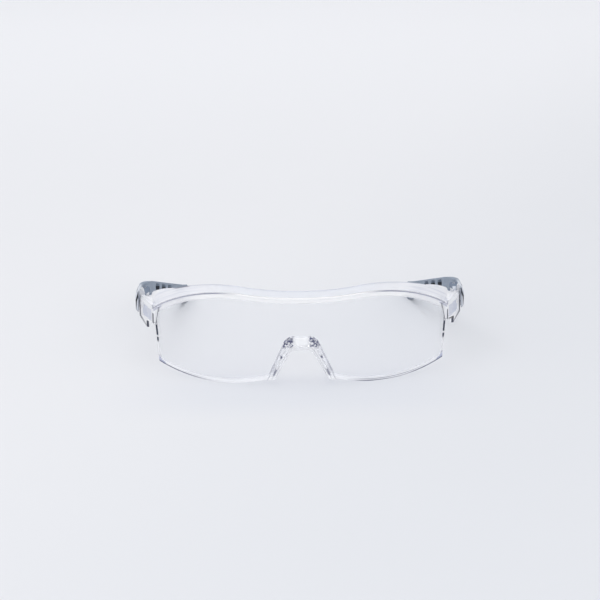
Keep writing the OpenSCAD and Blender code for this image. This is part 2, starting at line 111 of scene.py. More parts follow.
class Tree:
    """Short ways to add and join shader nodes."""

    def __init__(self, owner):
        owner.use_nodes = True
        self.tree = owner.node_tree
        self.tree.nodes.clear()

    def add(self, kind, inputs=None, **settings):
        node = self.tree.nodes.new(kind)
        for name, value in settings.items():
            setattr(node, name, value)
        for name, value in (inputs or {}).items():
            if isinstance(value, bpy.types.NodeSocket):
                self.tree.links.new(value, node.inputs[name])
            else:
                node.inputs[name].default_value = value
        return node

    def maths(self, operation, *values):
        return self.add("ShaderNodeMath", dict(enumerate(values)), operation=operation).outputs[0]

    def plus(self, a, b):
        return self.maths("ADD", a, b)

    def minus(self, a, b):
        return self.maths("SUBTRACT", a, b)

    def times(self, total, *others):
        for other in others:
            total = self.maths("MULTIPLY", total, other)
        return total

    def largest(self, total, *others):
        for other in others:
            total = self.maths("MAXIMUM", total, other)
        return total

    def above(self, value, limit):
        return self.maths("GREATER_THAN", value, limit)

    def length(self, a, b):
        """The root of the sum of two squares."""
        return self.maths("SQRT", self.plus(self.times(a, a), self.times(b, b)))

    def ramp(self, value, low, high, out_low=0.0, out_high=1.0):
        """A smooth step of value between low and high."""
        node = self.add(
            "ShaderNodeMapRange",
            {"Value": value, "From Min": low, "From Max": high, "To Min": out_low, "To Max": out_high},
            interpolation_type="SMOOTHSTEP",
        )
        return node.outputs["Result"]

    def band(self, value, low, high, soft):
        """1 where value lies between low and high, with soft ends."""
        return self.times(self.ramp(value, low - soft, low), self.ramp(value, high + soft, high))

    def blend(self, share, a, b):
        return self.add("ShaderNodeMix", {0: share, 6: a, 7: b}, data_type="RGBA").outputs[2]

    def mix(self, share, a, b):
        """Two shaders, mixed."""
        return self.add("ShaderNodeMixShader", {0: share, 1: a, 2: b}).outputs[0]

    def noise(self, where, scale, detail=3.0, roughness=0.5):
        node = self.add(
            "ShaderNodeTexNoise",
            {"Vector": where, "Scale": scale, "Detail": detail, "Roughness": roughness},
        )
        return node.outputs["Fac"]

    def place(self):
        return self.add("ShaderNodeTexCoord").outputs["Object"]

    def split(self, vector):
        return self.add("ShaderNodeSeparateXYZ", {0: vector}).outputs


def new_material(name):
    material = bpy.data.materials.new(name)
    return material, Tree(material)


class Spot:
    """Where a point of the surface lies in the source's millimetres, as sockets.

    across is the place from side to side and aside the same without its sign; radius is the distance
    from the axis of the lens curve.
    """

    def __init__(self, t):
        parts = t.split(t.place())
        self.across = t.times(parts["X"], MM)
        self.aside = t.times(t.maths("ABSOLUTE", parts["X"]), MM)
        self.y = t.maths("MULTIPLY_ADD", parts["Y"], MM, -SHIFT_Y)
        self.z = t.times(parts["Z"], MM)
        self.radius = t.length(self.aside, t.minus(self.y, LENS_RADIUS))


def drop_of(t, at):
    """How far a place lies below the wavy top line, square to the rising shelf."""
    def arc(centre, radius):
        off = t.minus(at.aside, centre)
        return t.maths("SQRT", t.minus(radius ** 2, t.times(off, off)))

    middle = t.minus(DIP_Z, arc(0.0, DIP_RADIUS))
    outer = t.plus(SHOULDER_Z, arc(SHOULDER_X, SHOULDER_RADIUS))
    top = t.plus(middle, t.times(t.above(at.aside, BLEND_X), t.minus(outer, middle)))
    return t.minus(top, t.minus(t.times(at.z, math.cos(RISE)), t.times(at.y, math.sin(RISE))))


# ---------------------------------------------------------------- masks and colours of the clear pieces: painted reflections, refractions and highlights
# Each mask is a share from 0 to 1, and the ranges of its ramps and bands are millimetres of the source.
# Where a mask brings a flat colour of its own, it does so wherever its share is above COUNTS.
COUNTS = 0.02
# Painted highlight white, for the gleam of the lip and the pale parts of the brow lines.
WHITE = linear(255, 255, 255)
# Painted highlight white where clear edges and places look white, under the other painted colours.
HIGHLIGHT_WHITE = linear(252, 253, 255)
# Painted lavender reflection of the darker room, on the wing's panel, above it, and faintly at the rail's
# corner.
LAVENDER_REFLECTION = linear(196, 202, 219)
# Painted dark refraction under the outer end of the lip, at the top corner of the rail.
RAIL_CORNER_REFRACTION = linear(150, 154, 180)
# Painted dark refraction of the room in the edges of the wing and the rail.
DARK_EDGE_REFRACTION = linear(58, 62, 78)
# Painted refraction of the slate tongue seen through the clear hinge block, with a pale painted boss.
TONGUE_REFRACTION_SLATE, BOSS_REFRACTION_PALE = linear(104, 117, 136), linear(212, 217, 226)
# Painted, slightly darker refraction through the middle of the shelf.
SHELF_MIDDLE_REFRACTION = linear(226, 229, 235)
# Painted refraction lines of the brow: pale, dark, and darker at the left end of the rear edge.
SHELF_PALE_REFRACTION, BROW_DARK_REFRACTION, REAR_END_DARK_REFRACTION = linear(210, 214, 228), linear(124, 128, 150), linear(96, 94, 112)
# Painted refraction at the lower outer corner of the lens.
RIM_CORNER_REFRACTION = linear(194, 199, 219)
# Painted dark refraction of the room in the lens edge, low and high.
RIM_DARK_REFRACTION_LOW, RIM_DARK_REFRACTION_HIGH = linear(68, 73, 104), linear(62, 67, 82)
# Painted highlight white and painted dark reflection of the nose bridge.
BRIDGE_HIGHLIGHT_WHITE, BRIDGE_DARK_REFLECTION = linear(253, 254, 255), linear(70, 74, 108)
# Painted highlight on the temple's outer front corner, and painted shade along its outline.
TEMPLE_CORNER_HIGHLIGHT, TEMPLE_OUTLINE_SHADE = linear(230, 234, 241), linear(36, 40, 50)


def frame_milk(t):
    """The shelf is frosted towards the sides, and thick places of the moulding look white."""
    at = Spot(t)
    shelf = t.times(t.ramp(at.radius, 110.4, 109.8), t.ramp(at.z, 33.0, 35.5),
                    t.ramp(at.aside, 22.0, 56.0, 0.12, 0.85), t.ramp(at.aside, 76.0, 75.0))
    lip = t.times(t.ramp(at.radius, 110.4, 110.7), t.ramp(at.z, 33.0, 35.0),
                  t.ramp(at.aside, 58.0, 50.0, 0.45, 0.1))
    lip_end = t.times(t.ramp(at.radius, 110.2, 110.5), t.ramp(drop_of(t, at), 1.3, 1.7),
                      t.ramp(at.aside, 61.0, 71.0), 0.6)
    wing = t.times(t.ramp(at.y, 28.5, 30.0), 0.6)
    rail = t.times(t.ramp(at.aside, 71.0, 72.0), t.ramp(at.z, 34.5, 33.5), 0.8)
    return t.largest(shelf, lip, wing, rail, lip_end)


def brow_lines(t, at, drop):
    """Fine painted refraction lines along both edges of the shelf, pale in the middle and dark towards
    the sides.

    Faint streaks in the same painted colours lie between them, and on the left a darker painted
    line ends the rear edge.
    """
    front = t.times(t.ramp(at.radius, 110.2, 110.6), t.ramp(drop, 0.55, 0.35), t.ramp(at.z, 30.0, 32.0))
    back = t.length(at.aside, t.minus(at.y, SHELF_CENTRE))
    rear = t.times(t.ramp(back, 98.8, 98.5), t.ramp(at.aside, 62.0, 58.0), t.ramp(at.y, 28.0, 26.0))
    tail = t.times(t.ramp(back, 99.0, 98.7), t.ramp(at.across, -53.5, -56.5),
                   t.ramp(at.across, -65.0, -61.0), 0.85)
    along = t.add("ShaderNodeCombineXYZ", {"X": back, "Z": t.times(at.across, 0.08)}).outputs[0]
    flow = t.ramp(t.noise(along, 0.6, 2.0, 0.6), 0.42, 0.62, 0.2, 1.0)
    flow = t.times(flow, t.ramp(at.aside, 42.0, 60.0), t.ramp(at.radius, 110.2, 109.9),
                   t.ramp(at.z, 34.0, 36.0), t.ramp(at.y, 40.0, 37.0), t.ramp(at.aside, 75.0, 73.0))
    share = t.largest(t.times(front, t.ramp(at.aside, 46.0, 40.0, 0.62, 0.9)),
                      t.times(rear, 0.6), t.times(flow, 0.38), tail)
    deep = t.largest(t.times(front, t.ramp(at.aside, 28.0, 46.0)),
                     t.times(rear, t.ramp(at.aside, 28.0, 46.0, 0.0, 0.55)), t.times(flow, 0.4))
    pale = t.blend(t.above(t.largest(rear, flow), COUNTS), WHITE, SHELF_PALE_REFRACTION)
    return share, t.blend(tail, t.blend(deep, pale, BROW_DARK_REFRACTION), REAR_END_DARK_REFRACTION)


def wing_axes(t, at):
    """How far a place lies along the wing from the rail, and how deep behind its face."""
    off_x, off_y = t.minus(at.aside, WING_X), t.minus(at.y, WING_Y)
    run = t.plus(t.times(off_x, math.cos(WING_TURN)), t.times(off_y, math.sin(WING_TURN)))
    depth = t.minus(t.times(off_y, math.cos(WING_TURN)), t.times(off_x, math.sin(WING_TURN)))
    return run, depth


def frame_edge_refraction(t, at, run, depth, on_front):
    """Painted dark refraction in the edges of the wing (tick, rear, sloping foot) and of the rail (both
    sides, round end).
    """
    tick = t.times(t.ramp(at.z, 24.4, 24.0), t.band(depth, -0.2, 0.75, 0.2), t.band(run, 8.0, 9.4, 0.3))
    rear = t.times(t.ramp(at.aside, 80.85, 81.15), t.band(at.z, 25.0, 34.5, 1.0), t.ramp(at.y, 43.0, 44.0))
    over_foot = t.minus(at.z, t.maths("MULTIPLY_ADD", t.minus(run, 9.8), 0.4, 20.7))
    foot = t.times(t.ramp(over_foot, 1.6, 1.2), t.ramp(run, 9.2, 9.8), t.ramp(run, 9.0, 19.0, 0.65, 0.85))
    rail = t.times(t.ramp(at.aside, RAIL_X - 0.5, RAIL_X - 0.3), t.band(at.z, 25.2, 30.0, 0.5),
                   on_front, 0.95)
    grip = t.maths("MULTIPLY_ADD", t.minus(at.z, 25.4), 0.2, 0.5)
    past_side = t.minus(t.plus(at.aside, grip), SIDE_X)
    inner = t.times(t.band(past_side, -0.2, 0.35, 0.15), t.band(at.z, 25.4, 34.0, 0.5),
                    t.ramp(at.y, 29.0, 28.0), 0.85)
    off_knob = t.length(t.minus(at.aside, RAIL_X - 0.7), t.minus(at.z, 25.0))
    knob = t.times(t.band(off_knob, 0.5, 0.75, 0.15), on_front, 0.7)
    return t.times(t.largest(tick, rear, foot, rail, inner, knob), t.ramp(at.z, 36.0, 34.5))


def block_painted_light(t, at):
    """Painted refraction: the clear hinge block is painted with the slate of the tongue inside it; the one
    on the right has a pale boss.
    """
    slant = t.maths("MULTIPLY_ADD", t.minus(at.y, 45.0), 0.27, 79.4)
    slant = t.minus(t.minus(at.aside, slant), t.times(t.above(at.across, 0.0), 0.9))
    corner = t.times(t.maths("MAXIMUM", t.minus(78.0, at.aside), 0.0), 0.7)
    block = t.times(t.ramp(t.minus(at.y, corner), 41.2, 42.4), t.ramp(at.z, 34.0, 34.5),
                    t.ramp(slant, 0.3, -0.3), t.ramp(at.aside, 74.9, 75.4), 0.88)
    boss = t.times(t.band(at.across, 77.8, 79.3, 0.25), t.band(at.z, 35.8, 37.5, 0.3), block)
    return block, t.blend(boss, TONGUE_REFRACTION_SLATE, BOSS_REFRACTION_PALE)


def frame_painted_light(t):
    """Painted light on the frame: dark refraction on the edges, painted refraction lines on the brow,
    lavender reflection on the panels, slate refracted through the hinge blocks, and painted highlight white
    elsewhere.
    """
    at = Spot(t)
    drop = drop_of(t, at)
    run, depth = wing_axes(t, at)
    on_wing, on_front = t.ramp(at.y, 28.6, 29.4), t.ramp(at.y, 28.9, 28.4)
    dark = frame_edge_refraction(t, at, run, depth, on_front)
    block, block_colour = block_painted_light(t, at)
    lines, line_colour = brow_lines(t, at, drop)

    # The lip and the shelf: a painted highlight on the lip, painted dark refraction under its outer end, and
    # painted darker refraction through the middle of the shelf
    gleam = t.times(t.ramp(at.radius, 110.3, 110.6), t.band(drop, 0.4, 3.3, 0.3),
                    t.ramp(at.aside, 60.0, 48.0), 0.6)
    rail_corner_dark = t.times(t.ramp(at.radius, 110.2, 110.5), t.band(drop, 0.6, 1.5, 0.5),
                     t.band(at.aside, 70.0, 73.0, 1.2), on_front)
    faint_rail_corner_dark = t.times(rail_corner_dark, 0.5)
    middle = t.times(t.ramp(at.aside, 54.0, 26.0), t.ramp(at.z, 36.0, 38.0),
                     t.ramp(at.radius, 110.5, 110.1), 0.55)

    # Painted lavender reflection of the darker room, in streaks, on the panel of the wing and as a patch
    # above it
    grain = t.add("ShaderNodeCombineXYZ", {"X": run, "Z": t.times(at.z, 0.12)}).outputs[0]
    streak = t.ramp(t.noise(grain, 0.35, 1.0), 0.3, 0.7, 0.4, 0.75)
    panel = t.times(t.band(run, 2.8, 14.5, 0.4), t.band(at.z, 25.8, 31.2, 0.5), on_wing, streak)
    patch = t.times(t.band(at.aside, 70.8, 74.0, 0.3), t.ramp(at.z, 33.0, 34.0),
                    t.band(at.y, 26.0, 33.0, 2.0), streak, 0.55)

    # Painted highlight white on the wing and the rail
    white_wing = t.times(on_wing, t.ramp(at.z, 35.5, 34.5), t.ramp(at.aside, 80.6, 80.0), 0.4)
    under = t.times(on_wing, t.ramp(at.z, 25.7, 25.3), t.band(run, 0.0, 7.6, 0.2), 0.85)
    white_rail = t.times(t.ramp(at.aside, SIDE_X - 0.2, SIDE_X + 0.2), t.ramp(at.z, 34.0, 33.0),
                         on_front, 0.5)

    # Where the painted lavender reflection lies
    lavender_reflected = t.ramp(t.largest(panel, patch, faint_rail_corner_dark), 0.1, 0.3)
    # The colours start from painted highlight white.
    colour = HIGHLIGHT_WHITE
    for mask, over in (
        (lavender_reflected, LAVENDER_REFLECTION),
        (rail_corner_dark, RAIL_CORNER_REFRACTION),
        (t.above(gleam, COUNTS), WHITE),
        (dark, DARK_EDGE_REFRACTION),
        (t.above(block, 0.4), block_colour),
        (t.above(middle, COUNTS), SHELF_MIDDLE_REFRACTION),
        (t.above(lines, COUNTS), line_colour),
    ):
        colour = t.blend(mask, colour, over)
    share = t.largest(t.times(dark, 0.92), panel, patch, block, middle, lines, gleam, faint_rail_corner_dark,
                      white_wing, white_rail, under)
    return share, colour


def edge_painted_light(t):
    """The polished edge of the lens, painted: dark refraction high on the sides and in double lines below,
    painted highlight white between.
    """
    at = Spot(t)
    low = t.minus(LOWER_RADIUS, t.length(t.minus(at.aside, LOWER_X), t.minus(at.z, LOWER_Z)))
    lean = t.maths("MULTIPLY_ADD", t.minus(at.z, SIDE_FOOT), SIDE_LEAN / (SIDE_TOP - SIDE_FOOT), SIDE_FOOT_X)
    side = t.minus(lean, at.aside)
    dark_refraction_reach = t.largest(t.ramp(at.across, -38.0, -60.0), t.ramp(at.across, 20.0, 34.0))
    off_gap = t.maths("ABSOLUTE", t.minus(at.across, 49.0))
    first = t.times(t.ramp(low, 0.7, 0.4), dark_refraction_reach, t.ramp(off_gap, 3.0, 9.0, 0.45, 0.8))
    second = t.times(t.band(low, 1.0, 1.2, 0.2), dark_refraction_reach, t.ramp(at.across, -30.0, 10.0, 0.25, 0.6),
                     t.ramp(at.aside, 66.0, 50.0, 0.2, 1.0))
    strip = t.times(t.ramp(low, 2.1, 1.6), t.ramp(at.aside, 12.0, 16.0, 0.3, 0.85))
    rim, over_corner = t.ramp(side, 1.15, 0.9), t.ramp(at.z, 7.0, 10.0)
    high = t.times(t.ramp(at.z, 14.8, 16.8), t.minus(1.0, t.band(at.z, 18.3, 18.8, 0.35)))
    beside = t.times(rim, t.largest(high, 0.12), over_corner)
    pale = t.times(rim, over_corner, 0.7)
    dark = t.largest(first, second, beside)
    corner = t.times(t.ramp(at.aside, 67.0, 70.5), t.ramp(at.z, 9.4, 7.2),
                     t.ramp(t.maths("MINIMUM", low, side), 1.7, 0.9), 0.45)
    white = t.blend(t.ramp(corner, 0.02, 0.2), HIGHLIGHT_WHITE, RIM_CORNER_REFRACTION)
    colour = t.blend(dark, white, t.blend(t.ramp(at.z, 10.0, 13.0), RIM_DARK_REFRACTION_LOW, RIM_DARK_REFRACTION_HIGH))
    return t.largest(strip, pale, corner, t.times(dark, 0.95)), colour


def saddle_across(t, at):
    """Distance from the middle line of the saddle's notch shape, which has a round upper corner."""
    cos, sin = math.cos(NOTCH_LEAN), math.sin(NOTCH_LEAN)
    off_x, off_z = t.minus(at.aside, NOTCH_X), t.minus(at.z, NOTCH_Z)
    square = t.plus(t.times(off_x, cos), t.times(off_z, sin))
    along = t.minus(t.times(off_x, sin), t.times(off_z, cos))
    round_part = t.length(t.maths("MAXIMUM", off_x, 0.0), off_z)
    straight = t.times(t.above(along, 0.0), t.above(off_x, 0.0))
    return t.plus(round_part, t.times(straight, t.minus(square, round_part)))


def bridge_painted_light(t):
    """Painted light: dark broken reflections in the upper corners, fine dark lines and dots down the legs,
    painted highlight white elsewhere.
    """
    at = Spot(t)
    across = saddle_across(t, at)
    fleck = t.ramp(t.noise(t.place(), 900.0, 1.5, 0.6), 0.49, 0.54)
    flecks = t.times(t.ramp(at.aside, 3.4, 4.4), t.ramp(at.z, 18.6, 20.2), fleck)
    legs = t.times(t.ramp(at.z, 20.5, 18.5), t.ramp(at.z, 1.5, 4.5))
    outer = t.times(t.band(across, 5.1, 5.5, 0.15), legs, 0.42)
    inner = t.times(t.band(across, 3.35, 3.6, 0.15), legs, 0.3)
    dot = t.times(t.band(at.z, 14.2, 15.0, 0.3), t.band(across, 3.4, 4.1, 0.2), 0.95)
    low_dot = t.times(t.band(at.z, 5.2, 8.0, 0.8), t.band(across, 3.2, 3.8, 0.2), 0.9)
    dark = t.largest(flecks, outer, inner, dot, low_dot)
    feet = t.ramp(at.z, 6.0, 2.0, 0.25, 0.8)
    bar = t.times(t.ramp(at.aside, 4.8, 1.6), t.ramp(at.z, 18.2, 22.5), 0.85)
    return t.largest(t.times(dark, 0.8), feet, bar), t.blend(dark, BRIDGE_HIGHLIGHT_WHITE, BRIDGE_DARK_REFLECTION)


def temple_tone(t, base, darker):
    """Painted shade makes the slate deeper by the hinge, a painted highlight makes the front-facing outer
    front corner pale, and painted shade draws its dark outline.
    """
    at = Spot(t)
    base = t.blend(t.times(t.ramp(at.y, 62.0, 46.0), 0.75), base, darker)
    facing = t.split(t.add("ShaderNodeTexCoord").outputs["Normal"])
    front = t.largest(t.times(facing["Y"], -1.0), facing["Z"])
    pale = t.times(t.ramp(at.aside, 79.8, 81.8), t.ramp(at.y, 60.0, 50.0), t.ramp(front, 0.2, 0.5), 0.85)
    base = t.blend(pale, base, TEMPLE_CORNER_HIGHLIGHT)
    lean = t.maths("MULTIPLY_ADD", t.largest(t.minus(at.z, 32.0), 0.0), 0.3, at.aside)
    outline = t.times(t.band(lean, OUTSIDE_X - 0.55, OUTSIDE_X + 0.1, 0.2), t.ramp(at.z, 37.8, 36.4),
                      t.ramp(at.z, 26.5, 33.0, 0.25, 1.0), t.ramp(at.y, CHEEK_Y + 1.4, CHEEK_Y + 0.6))
    return t.blend(outline, base, TEMPLE_OUTLINE_SHADE)


def vent_tone(t, base, pale):
    """The vent walls are painted dark for their shade, and their upper part is painted paler, as it still
    catches light.
    """
    at = Spot(t)
    off_y, off_z = t.minus(at.y, BEND_Y), t.minus(at.z, BEND_Z)
    height = t.plus(t.times(off_y, math.sin(ARM_FALL)), t.times(off_z, math.cos(ARM_FALL)))
    return t.blend(t.ramp(height, VENT_HEIGHT + 0.3, VENT_HEIGHT + 0.8), base, pale)


# ---------------------------------------------------------------- materials
def clear_plastic(name, tint, shadow, milk=None, painted_light=None):
    """Moulded polycarbonate: clear and glossy, with faint flow marks, and only a faint shadow.

    milk takes the tree and gives a share: where the moulding is frosted or thick enough to look
    white. The last argument gives a share and a colour of painted light: painted reflections and
    refractions of the dark or the light of the room on edges and panels, and painted highlights.
    """
    material, t = new_material(name)
    where = t.place()
    flow = t.add(
        "ShaderNodeBump",
        {"Strength": 0.06, "Distance": 0.0002, "Height": t.noise(where, 240.0, 2.0)},
    )
    surface = t.add(
        "ShaderNodeBsdfPrincipled",
        {
            "Base Color": tint,
            "Roughness": t.ramp(t.noise(where, 55.0, 4.0, 0.6), 0.35, 0.75, 0.004, 0.02),
            "IOR": 1.58,
            "Transmission Weight": 1.0,
            "Normal": flow.outputs["Normal"],
        },
    ).outputs[0]
    if milk:
        cloud = t.blend(t.noise(where, 120.0, 3.0), (0.94, 0.945, 0.965, 1), (0.985, 0.987, 1.0, 1))
        front = t.add("ShaderNodeBsdfDiffuse", {"Color": cloud})
        behind = t.add("ShaderNodeBsdfTranslucent", {"Color": cloud})
        surface = t.mix(milk(t), surface, t.mix(0.4, front.outputs[0], behind.outputs[0]))
    # Painted light: a diffuse layer in the painted colours of reflection, refraction and highlight, laid
    # over the clear plastic.
    if painted_light:
        share, colour = painted_light(t)
        surface = t.mix(share, surface, t.add("ShaderNodeBsdfDiffuse", {"Color": colour}).outputs[0])
    facing = t.add("ShaderNodeLayerWeight", {"Blend": 0.35}).outputs["Facing"]
    veil = t.blend(t.ramp(facing, 0.45, 1.0), (shadow, shadow, shadow * 1.01, 1), (0.62, 0.64, 0.68, 1))
    through = t.add("ShaderNodeBsdfTransparent", {"Color": veil})
    path = t.add("ShaderNodeLightPath")
    passing = t.largest(path.outputs["Is Shadow Ray"], path.outputs["Is Diffuse Ray"])
    t.add("ShaderNodeOutputMaterial", {"Surface": t.mix(passing, surface, through.outputs[0])})
    return material


def grained_plastic(name, colour, darker, tone, painted_light_colour):
    """Matt moulded plastic with a fine spark-eroded grain, a little colour drift, a painted highlight that
    makes pointy edges lighter, and the painted light and shade that tone adds.
    """
    material, t = new_material(name)
    where = t.place()
    base = t.blend(t.ramp(t.noise(where, 38.0, 4.0, 0.55), 0.3, 0.7), colour, darker)
    # Painted highlight: pointy edges are painted lighter, where they would catch the light.
    edge_pointiness = t.add("ShaderNodeNewGeometry").outputs["Pointiness"]
    edge_highlight = tuple(min(1.0, c * 1.25) for c in colour[:3]) + (1.0,)
    base = t.blend(t.ramp(edge_pointiness, 0.52, 0.6, 0.0, 0.35), base, edge_highlight)
    grain = t.noise(where, 2600.0, 3.0, 0.6)
    bump = t.add("ShaderNodeBump", {"Strength": 0.22, "Distance": 0.00008, "Height": grain})
    body = t.add(
        "ShaderNodeBsdfPrincipled",
        {
            "Base Color": tone(t, base, painted_light_colour),
            "Roughness": t.ramp(t.noise(where, 900.0, 2.0, 0.5), 0.3, 0.7, 0.42, 0.56),
            "IOR": 1.5,
            "Normal": bump.outputs["Normal"],
        },
    )
    t.add("ShaderNodeOutputMaterial", {"Surface": body.outputs[0]})
    return material


def bonded_joint():
    """Where clear pieces touch under the brow, light passes as through one piece."""
    material, t = new_material("bonded_joint")
    through = t.add("ShaderNodeBsdfTransparent", {"Color": (1, 1, 1, 1)})
    t.add("ShaderNodeOutputMaterial", {"Surface": through.outputs[0]})
    return material


clear_lens = clear_plastic("lens_polycarbonate", (0.985, 0.99, 1.0, 1), 0.972, painted_light=edge_painted_light)
clear_frame = clear_plastic(
    "frame_polycarbonate", (0.985, 0.988, 0.998, 1), 0.95, milk=frame_milk, painted_light=frame_painted_light)
clear_bridge = clear_plastic("bridge_polycarbonate", (0.99, 0.99, 1.0, 1), 0.96, painted_light=bridge_painted_light)
# The temples' slate, with painted shade by the hinge, a painted highlight at the front corner and a painted
# shaded outline.
slate = grained_plastic(
    "slate_temple_plastic", linear(135, 148, 165), linear(126, 139, 156), temple_tone, linear(94, 106, 124))
clear_pin = clear_plastic("pin_polycarbonate", (0.98, 0.985, 1.0, 1), 0.95)
# The vent walls: a dark material that stands for the shade in the vents, painted paler near the top.
vent_shade_slate = grained_plastic(
    "vent_wall_painted_shade", linear(52, 58, 68), linear(38, 44, 54), vent_tone, linear(128, 141, 158))
bonded = bonded_joint()

for node, material in (
    ("lens", clear_lens),
    ("brow_frame", clear_frame),
    ("nose_bridge", clear_bridge),
    ("left_temple", slate),
    ("right_temple", slate),
    ("hinge_pins", clear_pin),
):
    for place in nodes[node].material_slots:
        place.material = material


# ---------------------------------------------------------------- shapes, in millimetres as in the source
# Drops under the top line: the plate enters the groove of the brow at GROOVE_FROM and ends at
# LENS_MARGIN, and GROOVE_DROPS are the limits of the groove's own faces.
GROOVE_FROM, LENS_MARGIN, GROOVE_DROPS = 2.6, 1.65, (1.0, 3.2)
GROOVE_END_X, TOP_LINE_END_X = 72.0, 91.0
LENS_ROUNDING = 1.1
# Up to each x the columns of the plate stand this far apart, closer where its edge is steep
COLUMN_STEPS = (3.6, 0.9), (7.6, 0.28), (15.2, 0.4), (66.0, 1.3), (70.0, 0.6), (SIDE_X, 0.15)
WELD, FLAT, HARD_EDGE = 2e-6, math.radians(0.4), math.radians(38)


def top_line(x):
    """The wavy top of the brow, square to the rising shelf."""
    x = abs(x)
    if x < BLEND_X:
        return DIP_Z - math.sqrt(DIP_RADIUS ** 2 - x ** 2)
    return SHOULDER_Z + math.sqrt(SHOULDER_RADIUS ** 2 - (x - SHOULDER_X) ** 2)


def under_top(x, margin):
    """Height on the front of the lens at this distance under the top line."""
    y = LENS_RADIUS - math.sqrt(LENS_RADIUS ** 2 - x ** 2)
    return (top_line(x) - margin + y * math.sin(RISE)) / math.cos(RISE)


def lens_foot(x):
    """Height of the lower edge of the lens, with the notch and the leaning sides."""
    x = abs(x)
    low = LOWER_Z - math.sqrt(LOWER_RADIUS ** 2 - (x - LOWER_X) ** 2)
    if x > SIDE_FOOT_X:
        low = max(low, SIDE_FOOT + (x - SIDE_FOOT_X) * (SIDE_TOP - SIDE_FOOT) / (SIDE_X - SIDE_FOOT_X))
    touch_x = NOTCH_X + NOTCH_RADIUS * math.cos(NOTCH_LEAN)
    touch_z = NOTCH_Z + NOTCH_RADIUS * math.sin(NOTCH_LEAN)
    if x < NOTCH_X:
        low = NOTCH_Z + NOTCH_RADIUS
    elif x < touch_x:
        low = NOTCH_Z + math.sqrt(NOTCH_RADIUS ** 2 - (x - NOTCH_X) ** 2)
    else:
        low = max(low, touch_z - (x - touch_x) / NOTCH_SPLAY)
    return max(low, 0.0)


def on_lens(x, depth, z):
    """A point at a front-view x and z, at a depth into the plate, in metres."""
    turn = math.asin(x / LENS_RADIUS)
    radius = LENS_RADIUS - depth
    return Vector((radius * math.sin(turn), LENS_RADIUS - radius * math.cos(turn) + SHIFT_Y, z)) / MM


def columns():
    """Places across the lens, from side to side."""
    found, x = [], 0.0
    while x < SIDE_X - 0.02:
        found.append(x)
        x += next(step for limit, step in COLUMN_STEPS if x < limit)
    found.append(SIDE_X)
    return [-v for v in reversed(found[1:])] + found


def finish_piece(name, bm, materials, body, node):
    """Make the piece that stands for the node, with even normals over its smooth faces."""
    mesh = bpy.data.meshes.new(name)
    bm.to_mesh(mesh)
    bm.free()
    piece = bpy.data.objects.new(name, mesh)
    scene.collection.objects.link(piece)
    for material in materials:
        mesh.materials.append(material)
    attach(piece, body)
    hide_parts(node)
    weights = piece.modifiers.new("even_normals", "WEIGHTED_NORMAL")
    weights.mode = "FACE_AREA"
    weights.weight = 80
    weights.keep_sharp = True


def make_lens():
    """The curved plate with a rounded rim, its end edges square to the plate."""
    bm = bmesh.new()
    rows = []
    for x in columns():
        heights = (lens_foot(x), under_top(x, GROOVE_FROM), under_top(x, LENS_MARGIN))
        rows.append([[bm.verts.new((x, depth, z)) for z in heights] for depth in (0.0, LENS_THICK)])
    for a, b in zip(rows, rows[1:]):
        for k in range(2):
            bm.faces.new((a[0][k], b[0][k], b[0][k + 1], a[0][k + 1]))
            bm.faces.new((a[1][k + 1], b[1][k + 1], b[1][k], a[1][k]))
        bm.faces.new((a[0][0], a[1][0], b[1][0], b[0][0]))
        bm.faces.new((a[0][2], b[0][2], b[1][2], a[1][2]))
    for end, order in ((rows[0], 1), (rows[-1], -1)):
        for k in range(2):
            loop = [end[0][k], end[0][k + 1], end[1][k + 1], end[1][k]]
            bm.faces.new(loop[::order])
    bm.normal_update()
    rim = []
    for edge in bm.edges:
        flat = [abs(face.normal.y) > 0.9 for face in edge.link_faces]
        if len(flat) == 2 and flat[0] != flat[1]:
            rim.append(edge)
    bmesh.ops.bevel(
        bm, geom=rim, offset=LENS_ROUNDING, segments=4, profile=0.5, affect="EDGES", clamp_overlap=True)
    bm.normal_update()
    for face in bm.faces:
        face.smooth = True
        middle = face.calc_center_median()
        if middle.z > under_top(max(-SIDE_X, min(SIDE_X, middle.x)), GROOVE_FROM) - 0.02:
            face.material_index = 1
    for vert in bm.verts:
        vert.co = on_lens(*vert.co)
    bmesh.ops.recalc_face_normals(bm, faces=bm.faces)
    finish_piece("clear_lens_plate", bm, [clear_lens, bonded], "front", "lens")


def rounded_copy(name, node, materials, body, rounding, segments=2, pick=None):
    """The node's own shape with its hard edges rounded, to stand for it."""
    bm = bmesh.new()
    bm.from_mesh(nodes[node].data)
    bmesh.ops.remove_doubles(bm, verts=bm.verts, dist=WELD)
    bmesh.ops.dissolve_limit(bm, angle_limit=FLAT, verts=bm.verts, edges=bm.edges)
    bm.normal_update()
    if pick:
        for face in bm.faces:
            face.material_index = pick(face)
    hard = [e for e in bm.edges if len(e.link_faces) == 2 and e.calc_face_angle(0) > HARD_EDGE]
    hard = [e for e in hard if not all(f.material_index == 1 for f in e.link_faces)]
    bmesh.ops.bevel(
        bm, geom=hard, offset=rounding / MM, segments=segments, profile=0.5, affect="EDGES",
        clamp_overlap=False, material=-1,
    )
    low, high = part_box(node)
    for vert in bm.verts:
        vert.co = Vector([min(max(c, a), b) for c, a, b in zip(vert.co, low, high)])
    for face in bm.faces:
        face.smooth = True
    finish_piece(name, bm, materials, body, node)


def groove_face(face):
    """1 for a face of the groove under the brow, where the two clear pieces touch."""
    x, y, z = face.calc_center_median() * MM
    y -= SHIFT_Y
    inside = LENS_RADIUS - LENS_THICK - 0.3 < math.hypot(x, y - LENS_RADIUS) < LENS_RADIUS + 0.3
    drop = top_line(min(TOP_LINE_END_X, abs(x))) - (z * math.cos(RISE) - y * math.sin(RISE))
    return 1 if inside and GROOVE_DROPS[0] < drop < GROOVE_DROPS[1] and abs(x) < GROOVE_END_X else 0


